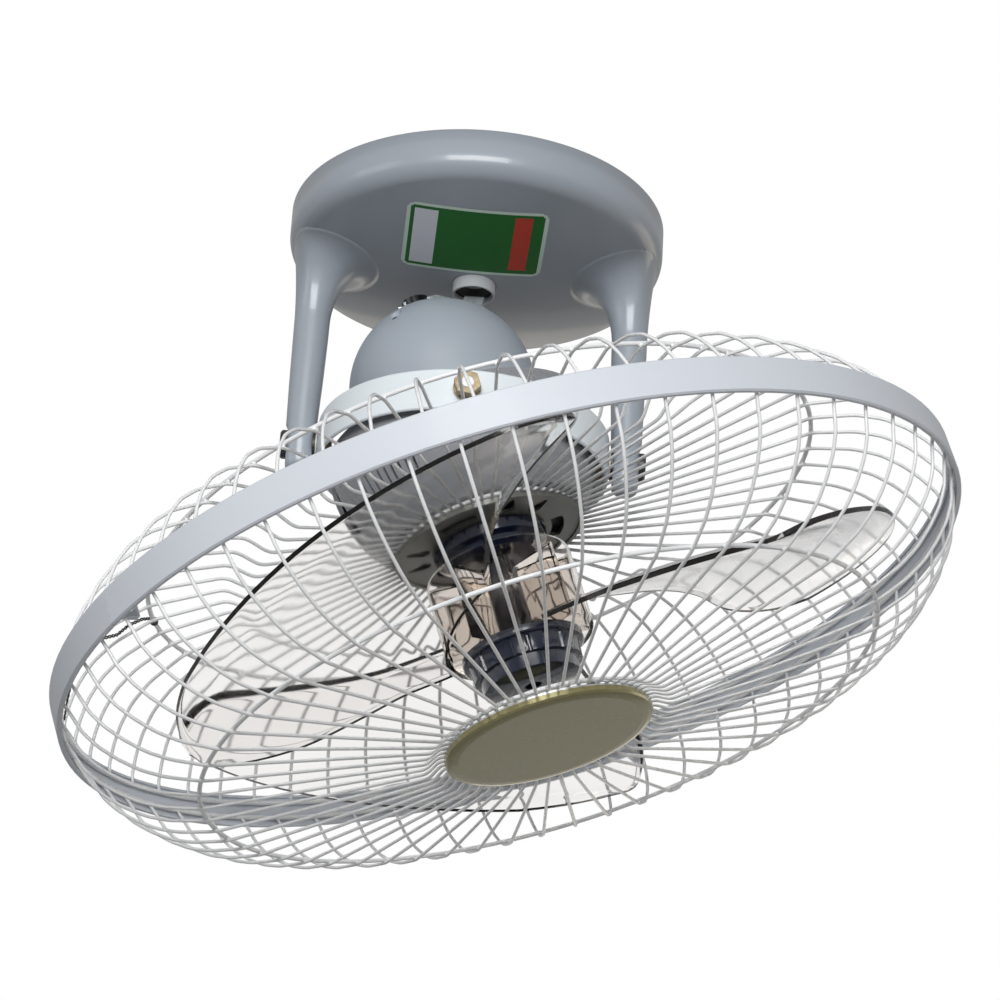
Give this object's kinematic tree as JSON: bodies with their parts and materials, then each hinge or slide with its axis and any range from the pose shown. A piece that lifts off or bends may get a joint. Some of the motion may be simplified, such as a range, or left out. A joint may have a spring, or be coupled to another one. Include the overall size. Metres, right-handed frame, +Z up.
{
  "type": "orbital ceiling fan",
  "caption": "Caged ceiling fan head hung in a gimbal ring between two legs of a round canopy, its axis led round a cone by a crank.",
  "frame": {"origin": "centre of the canopy's ceiling face, which is the centre of the four ceiling screws", "axes": "+Z up to the ceiling, X along the leg pivots' axis, Y along the head's cross pivots"},
  "size_m": [0.4501, 0.47, 0.3353],
  "materials": {
    "canopy_grey": "satin enamel",
    "dome_grey": "satin enamel",
    "motor_grey": "satin enamel",
    "white_enamel": "gloss powder coat",
    "band_enamel": "satin enamel",
    "zinc_steel": "zinc plated",
    "lamination": "stacked sheet",
    "champagne": "metallic satin",
    "light_plastic": "moulded",
    "white_plastic": "moulded",
    "black_plastic": "moulded",
    "black_rubber": "moulded",
    "navy_plastic": "moulded",
    "smoke_plastic": "clear tinted",
    "brass": "turned",
    "copper": "enamelled winding"
  },
  "bodies": {
    "canopy_body": {"ceiling_plate": "zinc_steel", "canopy": "canopy_grey", "canopy_screws": "zinc_steel", "collar_bush": "light_plastic", "crank_socket": "black_rubber", "terminal_block": "white_plastic", "capacitor": "white_plastic", "pivot_bolts": "zinc_steel", "pivot_caps": "black_plastic", "pivot_washers": "black_plastic", "pivot_nuts": "brass"},
    "ring": {"gimbal_ring": "white_enamel", "ring_bushes": "white_plastic"},
    "head": {"motor_rear_housing": "motor_grey", "motor_front_housing": "motor_grey", "stator_core": "lamination", "stator_windings": "copper", "rear_bearing": "zinc_steel", "front_bearing": "zinc_steel", "housing_screws": "zinc_steel", "cross_pivot_studs": "zinc_steel", "cross_pivot_nuts": "brass", "swing_motor": "zinc_steel", "swing_motor_bracket": "zinc_steel", "swing_motor_screws": "zinc_steel", "dome_cover": "dome_grey", "dome_screws": "zinc_steel", "dome_grommet": "black_rubber", "lock_ring": "champagne", "bearing_cap": "navy_plastic", "rear_guard": "white_enamel", "front_guard": "white_enamel", "guard_band": "band_enamel", "band_screw": "zinc_steel", "band_nut": "zinc_steel", "guard_tie": "black_plastic", "guard_centre_ring": "zinc_steel", "front_cap": "champagne", "front_cap_screws": "zinc_steel"},
    "crank": {"crank_arm": "zinc_steel", "swing_shaft": "zinc_steel", "crank_screw": "zinc_steel"},
    "rotor": {"motor_shaft": "zinc_steel", "rotor_core": "lamination", "blade": "smoke_plastic", "blade_drive_pin": "zinc_steel", "spinner_nut": "navy_plastic"}
  },
  "joints": [
    {"name": "ring_tilt", "type": "hinge", "parent": "canopy_body", "child": "ring", "pos_m": [0, 0, -0.1358], "axis": [1, 0, 0], "range_deg": [-18.9, 18.9]},
    {"name": "head_tilt", "type": "hinge", "parent": "ring", "child": "head", "pos_m": [0, 0, -0.1358], "axis": [0, 1, 0], "range_deg": [0, 37.8]},
    {"name": "crank_spin", "type": "hinge", "parent": "head", "child": "crank", "pos_m": [0, 0, -0.1358], "axis": [0.3239, 0, -0.9461], "continuous": true},
    {"name": "blade_spin", "type": "hinge", "parent": "head", "child": "rotor", "pos_m": [0, 0, -0.1358], "axis": [0.3239, 0, -0.9461], "continuous": true}
  ]
}
